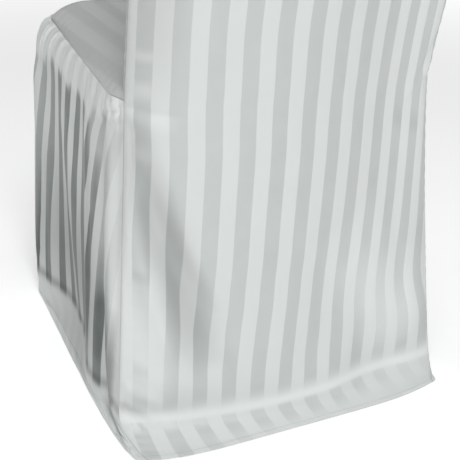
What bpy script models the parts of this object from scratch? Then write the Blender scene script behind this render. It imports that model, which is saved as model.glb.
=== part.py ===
# Fitted chair cover in three sewn panels, as it hangs on a padded chair
#
# Metres, +Z up. The chair's front faces -Y and its back +Y, and +X is the sitter's left.
# The origin is the middle of the footprint, at floor level.
# Each panel is one sheet of cloth, cut from one continuous surface along the seams.

import math

import bmesh
import bpy
import numpy as np

# Cloth and seams
CLOTH = 0.002
SEAM_GAP = 0.0003

# Heights above the floor
SEAT_HEIGHT = 0.455
TOP_HEIGHT = 0.920

# The two sides, as seen by the sitter
LEFT = 1
RIGHT = -1

# The back, measured at its two side seams
BACK_HALF = 0.207
BACK_HALF_GROWTH = 0.010
BACK_SEAM_Y = 0.200
BACK_LEAN = 0.170
BACK_BOW = 0.045
FOOT_BOW = 0.034
BOW_POWER = 1.8

# How far the foot of each rear seam stands outside and behind its place at the seat
FOOT_OUT = {LEFT: 0.010, RIGHT: 0.054}
FOOT_BACK = {LEFT: 0.008, RIGHT: 0.032}
FOOT_POWER = 1.2

# The padded backrest inside the cover
PAD_HALF = 0.020
PAD_EDGE = 0.030
TOP_CORNER = 0.060
TOP_CORNER_RISE = 0.050

# The seat seam, in plan
SEAT_REAR_HALF = 0.218
SEAT_FRONT_HALF = 0.187
SEAT_FRONT_Y = -0.208
SEAT_CORNER = 0.055
SEAT_CROWN = 0.030
CROWN_REACH = 0.030

# The hanging line of the skirt, in plan, and the shoulder above it
HANG_REAR_HALF = 0.213
HANG_FRONT_HALF = 0.207
HANG_FRONT_Y = -0.228
HANG_CORNER = 0.062
REAR_RAMP = 0.10
SHOULDER_DROP = 0.045
SHOULDER_START = math.radians(20)

# The hem, which lies on the floor outside the hanging line
HEM_SEAM_HALF = {LEFT: 0.203, RIGHT: 0.243}
HEM_SEAM_Y = {LEFT: 0.282, RIGHT: 0.264}
HEM_SIDE_HALF = {LEFT: 0.229, RIGHT: 0.262}
HEM_BACK_BOW = 0.017
HEM_BOW_POWER = 5.0
HEM_SIDE_FRONT_HALF = 0.213
HEM_REAR_TURN = 0.20
HEM_TURN_POWER = 0.6
HEM_FRONT_Y = -0.262
HEM_CORNER = 0.085
BEND_REACH = 0.022
BEND_SHARE = 0.35
FLAT_SHARE = 0.70

# Middle of the footprint, measured from the chair's own middle
FOOTPRINT_MIDDLE = (-0.0151, 0.0388)

# Height of the floor crease, and how far round from the rear seam it reaches its full height
CREASE_REAR = {LEFT: 0.010, RIGHT: 0.026}
CREASE_FRONT = 0.030
CREASE_FRONT_SHARE = 0.38

# Soft folds. Place is metres round the skirt from its left rear seam, or metres to the
# left of the middle on the back panel. Depth is outward.
# Columns: place and height at the start, place and height at the end, half width,
# depth at the start, depth at the end
SKIRT_FOLDS = (
    (0.095, 0.430, 0.100, 0.020, 0.065, 0.006, 0.011),
    (0.310, 0.410, 0.265, 0.020, 0.110, -0.003, -0.021),
    (0.385, 0.360, 0.390, 0.020, 0.055, 0.006, 0.009),
    (0.520, 0.400, 0.515, 0.020, 0.060, -0.002, -0.011),
    (0.625, 0.400, 0.640, 0.020, 0.050, 0.003, 0.009),
    (0.730, 0.400, 0.720, 0.020, 0.055, -0.002, -0.010),
    (0.870, 0.380, 0.860, 0.020, 0.055, 0.004, 0.010),
    (0.990, 0.410, 1.010, 0.020, 0.090, -0.003, -0.016),
    (1.130, 0.420, 1.115, 0.020, 0.060, 0.005, 0.012),
)
BACK_FOLDS = (
    (0.185, 0.390, 0.095, 0.150, 0.045, -0.004, -0.006),
    (0.165, 0.200, 0.150, 0.080, 0.060, 0.004, 0.005),
    (-0.060, 0.260, -0.050, 0.100, 0.060, -0.002, -0.004),
    (-0.110, 0.220, -0.150, 0.030, 0.090, -0.002, -0.010),
)
FOLD_FADE = 0.080
BACK_FOLD_EDGE = 0.12
SKIRT_FOLD_EDGE = 0.030

# Where the rows and columns of each sheet run
COLUMNS = (0.0, 0.13, 0.26, 0.39, 0.52, 0.65, 0.78, 0.88, 0.95, 0.985, 1.0)
REAR_STATIONS = (0.0, 0.02, 0.05, 0.10, 0.16, 0.23, 0.30, 0.38)
SIDE_STATIONS = REAR_STATIONS + (0.46, 0.54, 0.62, 0.70, 0.78, 0.86, 0.93, 1.0)
CORNER_STEPS = 4
TOP_ROWS = (0.0, 0.006, 0.014, 0.024, 0.036, 0.050)
BACKREST_STEPS = 12
SHOULDER_STEPS = 4
HANG_STEPS = 8
BEND_STEPS = 3
BAND_SHARES = (0.68, 1.0)

# Direction that decides which way the faces along a cut edge are split, so that both
# sides of a seam are split alike
RIM_ORDER = (0.61, 0.35, 0.71)
SHARP_ANGLE = math.radians(60)

# Looks: linear base colour, roughness and metallic
PANELS = {
    "back_panel": ((0.62, 0.63, 0.62), 0.45, 0.0),
    "seat_panel": ((0.58, 0.60, 0.59), 0.45, 0.0),
    "skirt_panel": ((0.60, 0.61, 0.60), 0.45, 0.0),
}


def smooth(value):
    """Ease from 0 to 1."""
    value = min(1.0, max(0.0, value))
    return value * value * (3.0 - 2.0 * value)


def mix(start, end, share):
    return start + (end - start) * share


def fold_depth(place, height, folds):
    """Outward depth of all soft folds at one place and height."""
    total = 0.0
    for place_0, height_0, place_1, height_1, half_width, depth_0, depth_1 in folds:
        run = (place_1 - place_0, height_1 - height_0)
        away = (place - place_0, height - height_0)
        share = (away[0] * run[0] + away[1] * run[1]) / (run[0] ** 2 + run[1] ** 2)
        share = min(1.0, max(0.0, share))
        distance = math.hypot(away[0] - share * run[0], away[1] - share * run[1])
        if distance < half_width:
            bump = 0.5 + 0.5 * math.cos(math.pi * distance / half_width)
            total += mix(depth_0, depth_1, share) * bump
    return total * smooth((SEAT_HEIGHT - height) / FOLD_FADE)


# The back

def side_of(value):
    return LEFT if value >= 0.0 else RIGHT


def below_seat(height):
    """Share of the way from the seat down to the floor, eased."""
    return max(0.0, (SEAT_HEIGHT - height) / SEAT_HEIGHT) ** FOOT_POWER


def seam_half(height, side):
    """Distance of one rear seam from the middle plane."""
    if height > SEAT_HEIGHT:
        return BACK_HALF + BACK_HALF_GROWTH * (height - SEAT_HEIGHT) / (TOP_HEIGHT - SEAT_HEIGHT)
    return BACK_HALF + FOOT_OUT[side] * below_seat(height)


def seam_y(height, side):
    if height > SEAT_HEIGHT:
        return BACK_SEAM_Y + BACK_LEAN * (height - SEAT_HEIGHT)
    return BACK_SEAM_Y + FOOT_BACK[side] * below_seat(height)


def row_half(height, side):
    """Half the width of one row, which narrows round the top corners."""
    into_corner = height - (TOP_HEIGHT - TOP_CORNER_RISE)
    half = seam_half(height, side)
    if into_corner <= 0.0:
        return half
    reach = math.sqrt(max(0.0, TOP_CORNER ** 2 - into_corner ** 2))
    return half - TOP_CORNER + reach


def edge_distance(x, height):
    """Distance inward from the side seams and the rounded top."""
    half = seam_half(height, side_of(x))
    past_x = abs(x) - (half - TOP_CORNER)
    past_z = height - (TOP_HEIGHT - TOP_CORNER_RISE)
    inward = min(half - abs(x), TOP_HEIGHT - height)
    if past_x > 0.0 and past_z > 0.0:
        inward = min(inward, TOP_CORNER - math.hypot(past_x, past_z))
    return max(0.0, inward)


def pad_profile(distance):
    """Rounded edge of the padded backrest, from 0 at the seam to 1."""
    inward = min(1.0, distance / PAD_EDGE)
    return math.sqrt(1.0 - (1.0 - inward) ** 2)


def back_middle(x, height):
    """Middle surface of the bowed backrest."""
    side = side_of(x)
    across = min(1.0, abs(x) / seam_half(height, side))
    straight = mix(seam_y(height, RIGHT), seam_y(height, LEFT), 0.5 + 0.5 * side * across)
    bow = mix(BACK_BOW, FOOT_BOW, below_seat(height))
    return straight + bow * (1.0 - across ** BOW_POWER)


def back_face(column, height, face):
    """One point of the outer (face 1) or inside (face -1) of the back."""
    x = column * row_half(height, side_of(column))
    depth = PAD_HALF * pad_profile(edge_distance(x, height)) * (1.0 - below_seat(height))
    return (x, back_middle(x, height) + face * depth, height)


# The fall of the cloth below the seat

def crease_height_round(share):
    """Height of the floor crease round the skirt, from rear seam to rear seam."""
    rear = CREASE_REAR[LEFT if share < 0.5 else RIGHT]
    from_rear = min(share, 1.0 - share) / CREASE_FRONT_SHARE
    return mix(rear, CREASE_FRONT, smooth(from_rear))


def crease_height_across(column):
    """Height of the floor crease across the back."""
    return mix(CREASE_REAR[RIGHT], CREASE_REAR[LEFT], smooth(0.5 + 0.5 * column))


def fall(crease):
    """Rows below the seat as (share of the kick, height, shoulder share)."""
    rows = []
    for step in range(SHOULDER_STEPS + 1):
        angle = mix(SHOULDER_START, math.pi / 2, step / SHOULDER_STEPS)
        drop = (math.cos(SHOULDER_START) - math.cos(angle)) / math.cos(SHOULDER_START)
        out = (math.sin(angle) - math.sin(SHOULDER_START)) / (1.0 - math.sin(SHOULDER_START))
        rows.append((0.0, SEAT_HEIGHT - SHOULDER_DROP * drop, out))
    hang_top = SEAT_HEIGHT - SHOULDER_DROP
    hang_foot = crease + BEND_REACH
    for step in range(1, HANG_STEPS + 1):
        rows.append((0.0, mix(hang_top, hang_foot, step / HANG_STEPS), 1.0))
    bend_height = mix(crease, CLOTH, BEND_SHARE / FLAT_SHARE)
    for step in range(1, BEND_STEPS + 1):
        t = step / BEND_STEPS
        height = (1 - t) ** 2 * hang_foot + 2 * t * (1 - t) * crease + t * t * bend_height
        rows.append((t * t * BEND_SHARE, height, 1.0))
    for share in BAND_SHARES:
        along = min(1.0, share / FLAT_SHARE)
        rows.append((share, mix(crease, CLOTH, along), 1.0))
    return rows


def back_hem(column):
    """Hem of the back panel on the floor."""
    straight = mix(HEM_SEAM_Y[RIGHT], HEM_SEAM_Y[LEFT], 0.5 + 0.5 * column)
    bow = HEM_BACK_BOW * (1.0 - abs(column) ** HEM_BOW_POWER)
    return (column * HEM_SEAM_HALF[side_of(column)], straight + bow)


def back_hang(column, height):
    """Back panel below the seat, without its kick."""
    x, y, _ = back_face(column, height, 1)
    edge = smooth((1.0 - abs(column)) / BACK_FOLD_EDGE)
    return (x, y + edge * fold_depth(x, height, BACK_FOLDS))


def rounded_run(station, rear, front_half, front_y, corner):
    """Half outline in plan from the rear seam to the front's middle.

    The station is 0 to 1 down the side, 1 to 2 round the corner and 2 to 3 along the front.
    """
    if station <= 1.0:
        return (mix(rear[0], front_half, station), mix(rear[1], front_y + corner, station))
    if station <= 2.0:
        angle = (station - 1.0) * math.pi / 2
        x = front_half - corner + corner * math.cos(angle)
        return (x, front_y + corner - corner * math.sin(angle))
    return ((front_half - corner) * (3.0 - station), front_y)


def outward(station):
    if station <= 1.0:
        return (1.0, 0.0)
    if station <= 2.0:
        angle = (station - 1.0) * math.pi / 2
        return (math.cos(angle), -math.sin(angle))
    return (0.0, -1.0)


def from_seam(station, at_seam, further):
    """Side line that starts at the rear seam and eases to its own course."""
    return mix(at_seam, further, smooth(station / REAR_RAMP))


def seat_seam(station):
    """Seat seam in plan, which is the same on both sides."""
    rear = (SEAT_REAR_HALF, BACK_SEAM_Y)
    x, y = rounded_run(station, rear, SEAT_FRONT_HALF, SEAT_FRONT_Y, SEAT_CORNER)
    return (from_seam(station, BACK_HALF, x), y)


def hang_line(station, height, side):
    """Hanging line in plan on one side, before its folds."""
    half = seam_half(height, side)
    flare = half - seam_half(height, LEFT)
    rear = (HANG_REAR_HALF + flare, seam_y(height, side))
    x, y = rounded_run(station, rear, HANG_FRONT_HALF, HANG_FRONT_Y, HANG_CORNER)
    return (from_seam(station, half, x), y)


def hem_line(station, side):
    """Hem in plan on one side, which turns the rear corner from the seam."""
    rear = (HEM_SIDE_HALF[side], BACK_SEAM_Y)
    x, y = rounded_run(station, rear, HEM_SIDE_FRONT_HALF, HEM_FRONT_Y, HEM_CORNER)
    turn = min(1.0, station / HEM_REAR_TURN) * math.pi / 2
    out = math.sin(turn) ** HEM_TURN_POWER
    return (mix(HEM_SEAM_HALF[side], x, out), mix(y, HEM_SEAM_Y[side], math.cos(turn)))


def round_length(station):
    """Metres along the hanging line from the rear seam."""
    side_length = BACK_SEAM_Y - HANG_FRONT_Y - HANG_CORNER
    corner_length = HANG_CORNER * math.pi / 2
    front_length = HANG_FRONT_HALF - HANG_CORNER
    length = side_length * min(station, 1.0)
    length += corner_length * min(max(station - 1.0, 0.0), 1.0)
    return length + front_length * max(station - 2.0, 0.0)


# The three sheets as rows of points, rows running down or forward

def all_columns():
    left = list(reversed(COLUMNS))
    return left + [-value for value in COLUMNS[1:]]


def backrest_heights():
    heights = [TOP_HEIGHT - drop for drop in TOP_ROWS]
    start = heights[-1]
    for step in range(1, BACKREST_STEPS + 1):
        heights.append(mix(start, SEAT_HEIGHT, step / BACKREST_STEPS))
    return heights


def back_sheet():
    rows = []
    for height in backrest_heights()[:-1]:
        rows.append([back_face(column, height, 1) for column in all_columns()])
    lower = []
    for column in all_columns():
        hem = back_hem(column)
        strip = []
        for share, height, _ in fall(crease_height_across(column)):
            hang = back_hang(column, height)
            strip.append((mix(hang[0], hem[0], share), mix(hang[1], hem[1], share), height))
        lower.append(strip)
    return np.concatenate([np.array(rows), np.array(lower).transpose(1, 0, 2)])


def seat_height(x, y):
    """Crowned seat, from the seat seam inward."""
    centre_y = SEAT_FRONT_Y + SEAT_CORNER
    side = min(1.0, max(0.0, (y - centre_y) / (BACK_SEAM_Y - centre_y)))
    half = mix(SEAT_FRONT_HALF, SEAT_REAR_HALF, side)
    past_x = abs(x) - (half - SEAT_CORNER)
    past_y = centre_y - y
    if past_x > 0.0 and past_y > 0.0:
        inward = SEAT_CORNER - math.hypot(past_x, past_y)
    else:
        inward = min(half - abs(x), y - SEAT_FRONT_Y)
    return SEAT_HEIGHT + SEAT_CROWN * (1.0 - math.exp(-max(0.0, inward) / CROWN_REACH))


def seat_stations():
    corner = [1.0 + step / CORNER_STEPS for step in range(1, CORNER_STEPS + 1)]
    return list(SIDE_STATIONS) + corner


def seat_sheet():
    rows = []
    for height in backrest_heights()[:-1]:
        rows.append([back_face(column, height, -1) for column in all_columns()])
    for station in seat_stations():
        half, edge_y = seat_seam(station)
        forward = (BACK_SEAM_Y - edge_y) / (BACK_SEAM_Y - SEAT_FRONT_Y)
        row = []
        for column in all_columns():
            x = column * half
            if abs(column) == 1.0:
                row.append((x, edge_y, SEAT_HEIGHT))
                continue
            crease_y = back_face(column, SEAT_HEIGHT, -1)[1]
            y = mix(crease_y, SEAT_FRONT_Y, forward)
            row.append((x, y, seat_height(x, y) if forward < 1.0 else SEAT_HEIGHT))
        rows.append(row)
    return np.array(rows)


def skirt_stations():
    """Stations from rear seam to rear seam as (station, side)."""
    stations = [(station, LEFT) for station in seat_stations()]
    stations += [(3.0 - abs(column), side_of(column)) for column in all_columns()[1:]]
    stations += [(station, RIGHT) for station in reversed(seat_stations()[:-1])]
    return stations


def skirt_sheet():
    whole = 2.0 * round_length(3.0)
    columns = []
    for station, side in skirt_stations():
        place = round_length(station) if side == LEFT else whole - round_length(station)
        crease = crease_height_round(place / whole)
        seam = seat_seam(station)
        start = hang_line(station, SEAT_HEIGHT, side)
        hem = hem_line(station, side)
        direction = outward(station)
        rear_fade = smooth(round_length(station) / SKIRT_FOLD_EDGE)
        column = []
        for share, height, shoulder in fall(crease):
            hang = hang_line(station, height, side)
            depth = rear_fade * fold_depth(place, height, SKIRT_FOLDS)
            x = hang[0] + (seam[0] - start[0]) * (1.0 - shoulder) + direction[0] * depth
            y = hang[1] + (seam[1] - start[1]) * (1.0 - shoulder) + direction[1] * depth
            x = mix(x, hem[0], share)
            y = mix(y, hem[1], share)
            column.append((side * x, y, height))
        columns.append(column)
    return np.array(columns).transpose(1, 0, 2)


# Solids

def shared_normals(sheets, signs):
    """Vertex normals of all sheets as one surface, so that both sides of a seam agree."""
    sums = {}
    for name, sheet in sheets.items():
        across = sheet[1:, 1:] - sheet[:-1, :-1]
        other = sheet[:-1, 1:] - sheet[1:, :-1]
        faces = signs[name] * np.cross(across, other)
        every_corner = (sheet[:-1, :-1], sheet[1:, :-1], sheet[:-1, 1:], sheet[1:, 1:])
        for corners in every_corner:
            for point, face in zip(corners.reshape(-1, 3), faces.reshape(-1, 3)):
                key = tuple(np.round(point, 5) + 0.0)
                sums[key] = sums.get(key, np.zeros(3)) + face
    normals = {}
    for name, sheet in sheets.items():
        flat = [sums[tuple(np.round(point, 5) + 0.0)] for point in sheet.reshape(-1, 3)]
        flat = np.array(flat)
        flat /= np.linalg.norm(flat, axis=1)[:, None]
        normals[name] = flat.reshape(sheet.shape)
    return normals


def draw_in(sheet, normals):
    """Pull each edge of a sheet straight back from its seam by half the seam gap."""
    result = sheet.copy()
    by_rows = (sheet, result, normals)
    by_columns = tuple(grid.transpose(1, 0, 2) for grid in by_rows)
    for points, moved, upright in (by_rows, by_columns):
        for edge, inner in ((0, 1), (-1, -2)):
            along = np.gradient(points[edge], axis=0)
            back = np.cross(upright[edge], along)
            back *= np.sign(np.sum(back * (points[inner] - points[edge]), axis=1))[:, None]
            moved[edge] += back / np.linalg.norm(back, axis=1)[:, None] * SEAM_GAP / 2
    return result


def cell_faces(grid, i, j):
    """One cell as a quad, or as two triangles from the sheet's own corner."""
    cell = [grid[i][j], grid[i + 1][j], grid[i + 1][j + 1], grid[i][j + 1]]
    last_row = i == len(grid) - 2
    last_column = j == len(grid[0]) - 2
    own_corners = (
        i == 0 and j == 0,
        last_row and j == 0,
        last_row and last_column,
        i == 0 and last_column,
    )
    for first, is_corner in enumerate(own_corners):
        if is_corner:
            turned = cell[first:] + cell[:first]
            return [turned[:3], [turned[0], turned[2], turned[3]]]
    return [cell]


def add_panel(name, sheet, normals, sign, collection):
    """Closed sheet of cloth, its visible face on the given points."""
    outer = draw_in(sheet, normals)
    inner = outer - CLOTH * normals
    row_count, column_count = sheet.shape[:2]
    mesh = bmesh.new()
    top = [[mesh.verts.new(point) for point in row] for row in outer]
    bottom = [[mesh.verts.new(point) for point in row] for row in inner]

    def add_face(corners, facing):
        """Face that is split from its first corner, whichever way it faces."""
        mesh.faces.new(corners if facing > 0 else [corners[0]] + corners[:0:-1])

    for i in range(row_count - 1):
        for j in range(column_count - 1):
            for corners in cell_faces(top, i, j):
                add_face(corners, sign)
            for corners in cell_faces(bottom, i, j):
                add_face(corners, -sign)
    rim = [(0, j) for j in range(column_count)]
    rim += [(i, column_count - 1) for i in range(1, row_count)]
    rim += [(row_count - 1, j) for j in range(column_count - 2, -1, -1)]
    rim += [(i, 0) for i in range(row_count - 2, 0, -1)]
    for (i, j), (next_i, next_j) in zip(rim, rim[1:] + rim[:1]):
        here, there = top[i][j], top[next_i][next_j]
        under_here, under_there = bottom[i][j], bottom[next_i][next_j]
        if np.dot(sheet[i, j] - sheet[next_i, next_j], RIM_ORDER) < 0.0:
            add_face([here, there, under_there], sign)
            add_face([here, under_there, under_here], sign)
        else:
            add_face([here, there, under_here], sign)
            add_face([there, under_there, under_here], sign)
    data = bpy.data.meshes.new(name)
    mesh.to_mesh(data)
    mesh.free()
    data.shade_smooth()
    data.set_sharp_from_angle(angle=SHARP_ANGLE)
    panel = bpy.data.objects.new(name, data)
    panel.location = (-FOOTPRINT_MIDDLE[0], -FOOTPRINT_MIDDLE[1], 0.0)
    colour, roughness, metallic = PANELS[name]
    panel.data.materials.append(cloth_material(name, colour, roughness, metallic))
    collection.objects.link(panel)
    return panel


def cloth_material(name, colour, roughness, metallic):
    material = bpy.data.materials.new(name + "_cloth")
    material.use_nodes = True
    shader = material.node_tree.nodes["Principled BSDF"]
    shader.inputs["Base Color"].default_value = (*colour, 1.0)
    shader.inputs["Roughness"].default_value = roughness
    shader.inputs["Metallic"].default_value = metallic
    return material


def main():
    for item in list(bpy.data.objects):
        bpy.data.objects.remove(item, do_unlink=True)
    collection = bpy.data.collections.new("chair_cover")
    bpy.context.scene.collection.children.link(collection)
    sheets = {"back_panel": back_sheet(), "seat_panel": seat_sheet(), "skirt_panel": skirt_sheet()}
    signs = {"back_panel": 1, "seat_panel": -1, "skirt_panel": -1}
    normals = shared_normals(sheets, signs)
    for name, sheet in sheets.items():
        add_panel(name, sheet, normals[name], signs[name], collection)


main()
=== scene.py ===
# Looks of the fitted chair cover: striped satin in three sewn panels over an unseen chair
#
# The shape formulas are those of the solids, run at a finer spacing, with the sewing,
# the small creases and the weave added to them.

import math

import bpy
import numpy as np
from mathutils import Matrix, Vector


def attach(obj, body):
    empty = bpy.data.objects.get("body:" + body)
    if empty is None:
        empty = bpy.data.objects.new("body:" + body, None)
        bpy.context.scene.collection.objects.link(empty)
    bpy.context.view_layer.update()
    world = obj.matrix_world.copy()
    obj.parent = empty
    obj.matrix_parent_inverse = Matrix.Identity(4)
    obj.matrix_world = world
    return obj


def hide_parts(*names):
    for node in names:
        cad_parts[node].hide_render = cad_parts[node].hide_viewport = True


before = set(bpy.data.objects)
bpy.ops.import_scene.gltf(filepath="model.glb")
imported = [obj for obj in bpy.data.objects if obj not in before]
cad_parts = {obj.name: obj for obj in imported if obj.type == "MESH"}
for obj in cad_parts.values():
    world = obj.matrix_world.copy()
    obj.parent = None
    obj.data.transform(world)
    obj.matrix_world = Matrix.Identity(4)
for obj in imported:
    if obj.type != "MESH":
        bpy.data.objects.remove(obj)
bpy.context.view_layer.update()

# Cloth of the solids
CLOTH = 0.002

# Heights above the floor
SEAT_HEIGHT = 0.455
TOP_HEIGHT = 0.920

# The two sides, as seen by the sitter
LEFT = 1
RIGHT = -1

# The back, measured at its two side seams
BACK_HALF = 0.207
BACK_HALF_GROWTH = 0.010
BACK_SEAM_Y = 0.200
BACK_LEAN = 0.170
BACK_BOW = 0.045
FOOT_BOW = 0.034
BOW_POWER = 1.8

# How far the foot of each rear seam stands outside and behind its place at the seat
FOOT_OUT = {LEFT: 0.010, RIGHT: 0.054}
FOOT_BACK = {LEFT: 0.008, RIGHT: 0.032}
FOOT_POWER = 1.2

# The padded backrest inside the cover
PAD_HALF = 0.020
PAD_EDGE = 0.030
TOP_CORNER = 0.060
TOP_CORNER_RISE = 0.050

# The seat seam, in plan
SEAT_REAR_HALF = 0.218
SEAT_FRONT_HALF = 0.187
SEAT_FRONT_Y = -0.208
SEAT_CORNER = 0.055
SEAT_CROWN = 0.030
CROWN_REACH = 0.030

# The hanging line of the skirt, in plan, and the shoulder above it
HANG_REAR_HALF = 0.213
HANG_FRONT_HALF = 0.207
HANG_FRONT_Y = -0.228
HANG_CORNER = 0.062
REAR_RAMP = 0.10
SHOULDER_DROP = 0.045
SHOULDER_START = math.radians(20)

# The hem, which lies on the floor outside the hanging line
HEM_SEAM_HALF = {LEFT: 0.203, RIGHT: 0.243}
HEM_SEAM_Y = {LEFT: 0.282, RIGHT: 0.264}
HEM_SIDE_HALF = {LEFT: 0.229, RIGHT: 0.262}
HEM_BACK_BOW = 0.017
HEM_BOW_POWER = 5.0
HEM_SIDE_FRONT_HALF = 0.213
HEM_REAR_TURN = 0.20
HEM_TURN_POWER = 0.6
HEM_FRONT_Y = -0.262
HEM_CORNER = 0.085
BEND_REACH = 0.022
BEND_SHARE = 0.35
FLAT_SHARE = 0.70

# Middle of the footprint, measured from the chair's own middle
FOOTPRINT_MIDDLE = (-0.0151, 0.0388)

# Height of the floor crease, and how far round from the rear seam it reaches its full height
CREASE_REAR = {LEFT: 0.010, RIGHT: 0.026}
CREASE_FRONT = 0.030
CREASE_FRONT_SHARE = 0.38

# Soft folds. Place is metres round the skirt from its left rear seam, or metres to the
# left of the middle on the back panel. Depth is outward.
# Columns: place and height at the start, place and height at the end, half width,
# depth at the start, depth at the end
SKIRT_FOLDS = (
    (0.095, 0.430, 0.100, 0.020, 0.065, 0.006, 0.011),
    (0.310, 0.410, 0.265, 0.020, 0.110, -0.003, -0.021),
    (0.385, 0.360, 0.390, 0.020, 0.055, 0.006, 0.009),
    (0.520, 0.400, 0.515, 0.020, 0.060, -0.002, -0.011),
    (0.625, 0.400, 0.640, 0.020, 0.050, 0.003, 0.009),
    (0.730, 0.400, 0.720, 0.020, 0.055, -0.002, -0.010),
    (0.870, 0.380, 0.860, 0.020, 0.055, 0.004, 0.010),
    (0.990, 0.410, 1.010, 0.020, 0.090, -0.003, -0.016),
    (1.130, 0.420, 1.115, 0.020, 0.060, 0.005, 0.012),
)
BACK_FOLDS = (
    (0.185, 0.390, 0.095, 0.150, 0.045, -0.004, -0.006),
    (0.165, 0.200, 0.150, 0.080, 0.060, 0.004, 0.005),
    (-0.060, 0.260, -0.050, 0.100, 0.060, -0.002, -0.004),
    (-0.110, 0.220, -0.150, 0.030, 0.090, -0.002, -0.010),
)
FOLD_FADE = 0.080
BACK_FOLD_EDGE = 0.12
SKIRT_FOLD_EDGE = 0.030

# Thickness of the fine sheets, and within what distance their corners count as one point
CLOTH_THICK = 0.0007
WELD = 0.00001
SHARP_ANGLE = math.radians(60)

# Spacing of the fine sheets: how many steps, and how much closer they stand at the ends
ACROSS_STEPS = 120
ACROSS_EASE = 0.72
BACKREST_STEPS = 96
BACKREST_EASE = 0.60
SIDE_STEPS = 96
SIDE_EASE = 0.55
CORNER_STEPS = 22
SHOULDER_STEPS = 12
HANG_STEPS = 66
BEND_STEPS = 12
BAND_STEPS = 20
BAND_EASE = 0.55

# Soft turn of the back where it meets the seat
TURN_REACH = 0.075
TURN_EDGE = 0.16

# Sewing: groove and puckers at a seam, turned hem and its stitches. A drift, in radians and
# in radians a metre, keeps puckers and gathers from an even spacing
SEAM_GROOVE = 0.0011
SEAM_REACH = 0.0030
PUCKER_DEPTH = 0.0003
PUCKER_LENGTH = 0.019
PUCKER_REACH = 0.010
PUCKER_DRIFT = (2.8, 27.0)
HEM_WIDTH = 0.009
HEM_RAISE = 0.0009
HEM_STEP = 0.0015
HEM_GROOVE = 0.0005
HEM_GROOVE_REACH = 0.0010
STITCH = 0.0034
STITCH_WIDTH = 0.0008
STITCH_GAP = (-0.6, -0.3)
STITCH_TONE = 0.72
EDGE_FADE = 0.012

# Roll where the cloth meets the floor, and gathers below the seat seam. Columns of the
# gathers: length of the wave, its share, its drift, and its lean in radians a metre down
ROLL_DEPTH = 0.0012
ROLL_REACH = 0.0180
ROLL_PLACE = 0.0120
GATHER_DEPTH = 0.0012
GATHER_START = 0.008
GATHER_REACH = 0.055
GATHER_WAVES = (
    (0.01900, 1.0, (2.4, 37.0), 18.0),
    (0.01159, 0.6, (1.7, 23.0), 0.0),
)
FLOOR_CLEARANCE = 0.0009

# Small creases that only the looks need. Columns as in the soft folds: place and height at
# the start, place and height at the end, half width, depth at the start, depth at the end
CREASE_TAPER = 4.0
BACK_CREASES = (
    (0.218, 0.440, 0.106, 0.070, 0.036, -0.0100, -0.0100),
    (0.212, 0.370, 0.150, 0.110, 0.034, 0.0040, 0.0060),
    (0.215, 0.452, 0.130, 0.440, 0.007, -0.0016, -0.0004),
    (0.215, 0.441, 0.140, 0.415, 0.009, 0.0018, 0.0006),
    (0.215, 0.425, 0.150, 0.390, 0.010, -0.0016, -0.0006),
    (0.224, 0.050, 0.178, 0.012, 0.011, -0.0060, -0.0030),
    (0.225, 0.080, 0.160, 0.038, 0.015, 0.0034, 0.0020),
    (0.090, 0.250, 0.060, 0.030, 0.026, 0.0010, -0.0026),
    (0.020, 0.230, 0.000, 0.030, 0.030, 0.0008, 0.0020),
    (-0.150, 0.300, -0.205, 0.070, 0.020, -0.0014, -0.0030),
    (-0.110, 0.260, -0.165, 0.040, 0.024, 0.0010, 0.0026),
    (-0.200, 0.520, -0.160, 0.430, 0.010, -0.0022, -0.0010),
    (-0.205, 0.480, -0.140, 0.425, 0.009, 0.0016, 0.0008),
    (0.150, 0.960, 0.110, 0.560, 0.034, 0.0012, 0.0006),
    (-0.080, 0.960, -0.060, 0.620, 0.040, -0.0012, -0.0006),
)
SKIRT_CREASES = (
    (-0.008, 0.450, 0.060, 0.437, 0.0050, 0.0022, 0.0010),
    (-0.008, 0.442, 0.050, 0.429, 0.0045, -0.0018, -0.0010),
    (-0.008, 0.435, 0.070, 0.417, 0.0055, 0.0018, 0.0010),
    (0.020, 0.434, 0.085, 0.398, 0.0070, -0.0026, -0.0016),
    (0.030, 0.450, 0.034, 0.010, 0.0270, 0.0060, 0.0090),
    (0.175, 0.470, 0.190, -0.020, 0.0550, -0.0040, -0.0110),
    (0.098, 0.400, 0.100, 0.060, 0.0090, -0.0014, -0.0022),
    (0.118, 0.420, 0.112, 0.040, 0.0080, 0.0020, 0.0024),
    (0.064, 0.200, 0.054, -0.010, 0.0160, -0.0030, -0.0120),
    (0.030, 0.180, 0.026, -0.010, 0.0110, 0.0012, 0.0036),
    (0.215, 0.400, 0.200, 0.100, 0.0180, -0.0014, -0.0010),
    (0.262, 0.400, 0.240, 0.120, 0.0200, 0.0012, 0.0010),
    (0.340, 0.340, 0.335, 0.020, 0.0200, 0.0020, 0.0060),
    (0.366, 0.260, 0.384, 0.040, 0.0090, -0.0030, -0.0075),
    (0.400, 0.300, 0.392, 0.030, 0.0140, 0.0020, 0.0050),
    (0.560, 0.370, 0.570, 0.020, 0.0180, -0.0010, -0.0034),
    (0.690, 0.360, 0.684, 0.020, 0.0180, 0.0010, 0.0030),
    (0.800, 0.390, 0.790, 0.030, 0.0160, -0.0010, -0.0030),
    (0.950, 0.410, 0.940, 0.030, 0.0160, -0.0008, -0.0036),
    (1.060, 0.430, 1.070, 0.030, 0.0160, 0.0012, 0.0034),
    (1.170, 0.390, 1.160, 0.030, 0.0140, -0.0008, -0.0030),
)

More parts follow.
